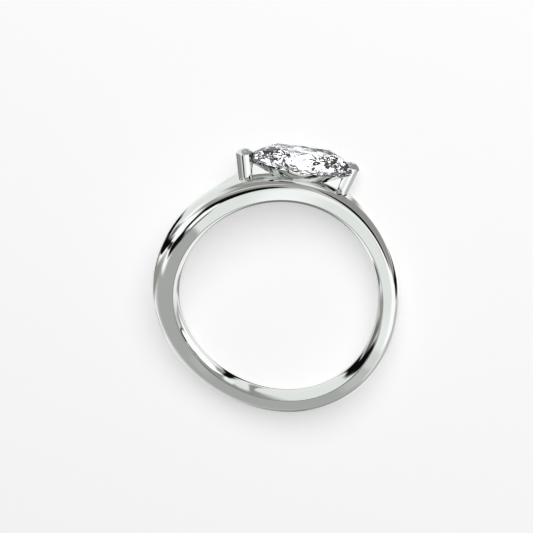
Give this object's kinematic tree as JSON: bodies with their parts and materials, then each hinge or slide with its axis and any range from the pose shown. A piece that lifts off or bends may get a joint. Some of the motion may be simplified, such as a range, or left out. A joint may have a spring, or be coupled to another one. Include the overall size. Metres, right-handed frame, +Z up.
{
  "type": "ring",
  "caption": "Slender swirled finger ring with a domed band and a marquise-cut stone held lengthways between round domed claws in a slim cup.",
  "frame": {"origin": "centre of the finger hole, at the middle of the band's width", "axes": "the ring lies on its side as it would by itself: +Z is up, within about five degrees of the finger hole's axis, and the stone is towards -Y"},
  "size_m": [0.0203, 0.0227, 0.0056],
  "materials": {
    "metal": "mirror-polished white gold",
    "stone": "polished facets, colourless"
  },
  "bodies": {
    "root": {"ring_body": "metal", "marquise_stone": "stone"}
  },
  "joints": []
}
